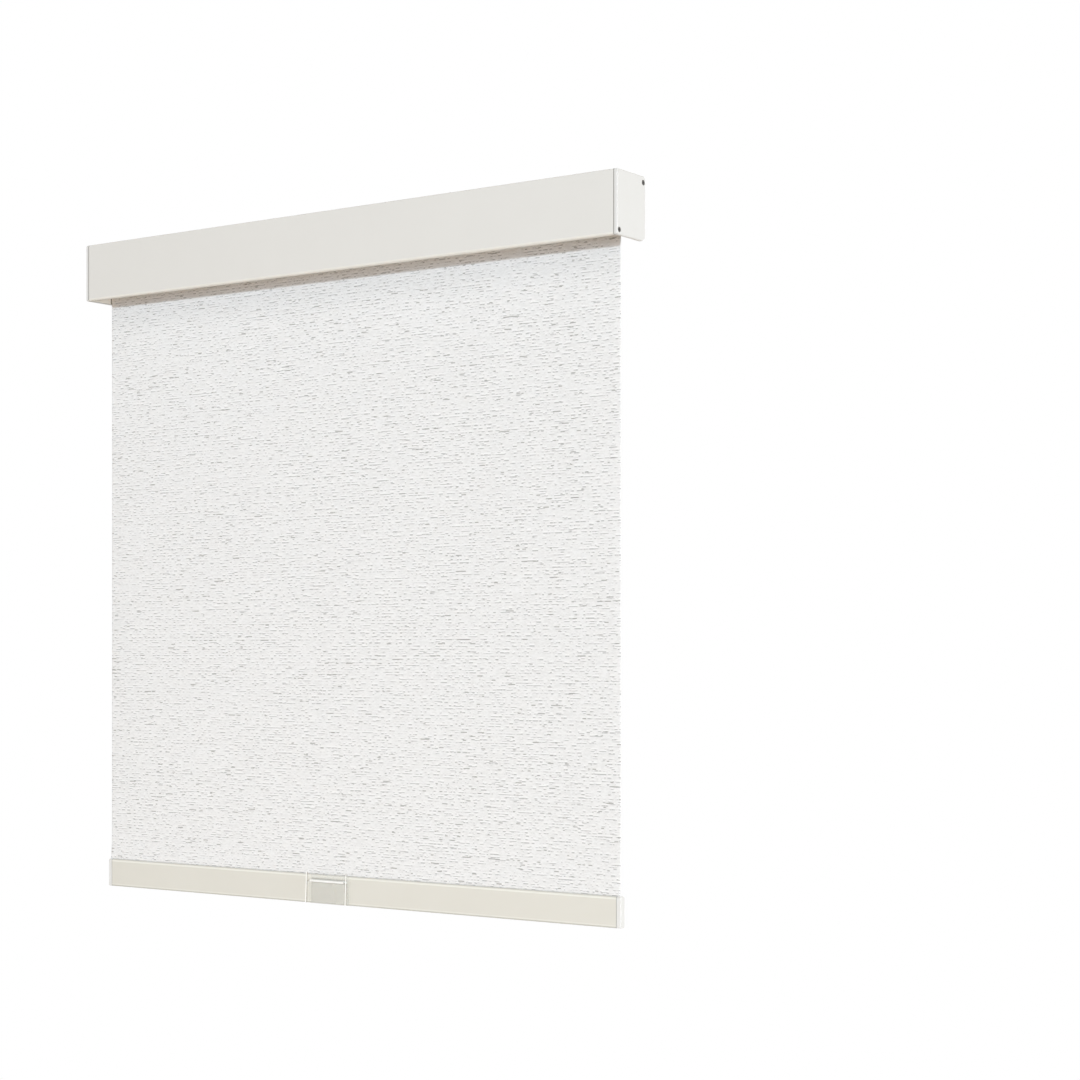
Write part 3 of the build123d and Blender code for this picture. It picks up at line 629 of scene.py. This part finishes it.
# Painted highlight: the front edge of the ledge.
bar = 1.0 - clear_acrylic.step(from_middle, ledge_reach, ledge_reach + 0.0008)
ledge_highlight = (1.0 - clear_acrylic.step(from_ledge, ledge_half, ledge_half + 0.0002)) * bar
painted_highlight = rim_highlight.or_larger(ledge_highlight)
# Painted shade: dark lines beside the rims and above and below the ledge edge.
beside_rim = (1.0 - clear_acrylic.step(from_front, rim_shade_depth, rim_shade_depth + 0.0006)) * foot
beside_ledge = 1.0 - clear_acrylic.step(from_ledge, ledge_shade_half, ledge_shade_half + 0.0008)
line = beside_rim.or_larger(beside_ledge * plate * bar) * (1.0 - painted_highlight)
above = clear_acrylic.step(level, above_start, above_start + 0.002)
glance = clear_acrylic.node("ShaderNodeLayerWeight", {}, {"Blend": 0.35}, "Fresnel")
shaded = clear_acrylic.node("ShaderNodeLightPath", {}, {}, "Is Shadow Ray")
cover = 0.02 + (0.205 - 0.15 * above + 0.2 * glance) * plate + 0.85 * painted_highlight + 0.44 * line
tint = clear_acrylic.mix(above, (0.66, 0.645, 0.60, 1.0), (0.70, 0.69, 0.655, 1.0))
# Painted highlights get a near-white tint.
tint = clear_acrylic.mix(painted_highlight, tint, (0.97, 0.965, 0.95, 1.0))
tint = clear_acrylic.mix(line, tint, (0.42, 0.41, 0.37, 1.0))
# Painted glow: emission on the ledge edge and the rims, standing in for caught light.
painted_glow = clear_acrylic.mix(ledge_highlight, (0.0, 0.0, 0.0, 1.0), (0.06, 0.059, 0.054, 1.0))
clear_acrylic.surface(
    Base_Color=tint,
    Roughness=0.06 + 0.12 * hairline,
    Normal=clear_acrylic.bump(hairline, 0.000004),
    Alpha=cover * (1.0 - 0.8 * shaded),
    IOR=1.49,
    Emission_Color=clear_acrylic.mix(rim_highlight, painted_glow, (0.34, 0.335, 0.31, 1.0)),
    Emission_Strength=1.0,
)
dress(clear_acrylic, "pull_handle")


# Studio: a round pale floor below the shade, white all round, a low key light from the
# front left, a broad soft light from the right and soft fills in front, above and below.
# Two more soft lights, behind and overhead, show the back and the top.
floor_z = -1.6
floor_radius = 1.15
floor_sides = 120
floor_turns = [math.radians(360 * index / floor_sides) for index in range(floor_sides)]
floor_mesh = bpy.data.meshes.new("floor")
floor_mesh.from_pydata(
    [(floor_radius * math.cos(turn), floor_radius * math.sin(turn), floor_z) for turn in floor_turns],
    [],
    [tuple(range(floor_sides))],
)
floor = bpy.data.objects.new("floor", floor_mesh)
bpy.context.scene.collection.objects.link(floor)
pale_floor = Finish("pale floor")
floor_cloud = pale_floor.grain(0.4, 2.0)
pale_floor.surface(
    Base_Color=pale_floor.mix(floor_cloud, (0.90, 0.90, 0.895, 1.0), (0.89, 0.885, 0.88, 1.0)),
    Roughness=0.9,
    Emission_Color=(1.0, 0.985, 0.96, 1.0),
    Emission_Strength=0.083,
)
floor_mesh.materials.append(pale_floor.material)

bpy.context.scene.world = bpy.data.worlds.new("white studio")
sky = Finish("white studio", bpy.context.scene.world)
seen = sky.node("ShaderNodeLightPath", {}, {}, "Is Camera Ray")
white = sky.node("ShaderNodeBackground", {}, {"Color": (1.0, 1.0, 1.0, 1.0), "Strength": 1.0})
soft = sky.node("ShaderNodeBackground", {}, {"Color": (1.0, 0.854, 0.686, 1.0), "Strength": 0.353})
studio = sky.node("ShaderNodeMixShader", {}, {0: seen, 1: soft, 2: white})
sky.node("ShaderNodeOutputWorld", {}, {"Surface": studio}, None)


def lamp(name, kind, energy, colour, toward, place=(0.0, 0.0, 0.0)):
    """A light of a strength and colour that shines in a direction from a place."""
    light = bpy.data.lights.new(name, kind)
    light.energy = energy
    light.color = colour
    holder = bpy.data.objects.new(name, light)
    holder.location = place
    holder.rotation_euler = Vector(toward).to_track_quat("-Z", "Y").to_euler()
    holder.visible_camera = False
    bpy.context.scene.collection.objects.link(holder)
    return light


key_height = math.radians(7.0)
key_side = math.radians(14.0)
key_toward = (
    math.sin(key_side) * math.cos(key_height),
    math.cos(key_side) * math.cos(key_height),
    -math.sin(key_height),
)
key = lamp("key light", "SUN", 1.188, (0.847, 1.0, 1.116), key_toward)
key.angle = math.radians(3.5)
panels = (
    ("side light", 157.0, (0.935, 1.0, 1.066), (-1.0, 0.1, 0.0), (4.6, -0.38, -0.45), 2.7, 2.7),
    ("front light", 10.2, (0.64, 0.782, 1.0), (0.1, 1.0, 0.0), (-0.3, -2.6, -0.06), 2.4, 0.9),
    ("top light", 8.0, (1.0, 0.99, 0.985), (0.1, 2.0, -2.1), (-0.1, -2.1, 1.7), 1.6, 1.2),
    ("low light", 7.1, (1.0, 0.60, 0.32), (0.1, 2.4, 1.0), (-0.1, -2.5, -1.3), 2.0, 0.5),
    ("back light", 34.0, (0.90, 0.97, 1.02), (0.15, -1.0, -0.1), (-0.5, 2.7, 0.0), 2.4, 1.6),
    ("roof light", 6.0, (0.93, 0.98, 1.0), (0.0, -0.25, -1.0), (0.0, 0.45, 1.3), 1.4, 0.5),
)
for name, watts, colour, toward, place, wide, high in panels:
    panel = lamp(name, "AREA", watts, colour, toward, place)
    panel.shape = "RECTANGLE"
    panel.size = wide
    panel.size_y = high


# Camera: a little below the middle of the shade, level and about 35 degrees to its right,
# with a long lens that is shifted up to frame the whole shade.
camera = bpy.data.objects.new("camera", bpy.data.cameras.new("camera"))
camera.data.sensor_width = 36.0
camera.data.lens = 74.02
camera.data.shift_y = 0.1024
camera.location = (1.9065, -2.3220, -0.5595)
camera.rotation_euler = (math.radians(90.0), 0.0, math.radians(34.73))
bpy.context.scene.collection.objects.link(camera)
bpy.context.scene.camera = camera
bpy.context.scene.view_settings.view_transform = "Standard"
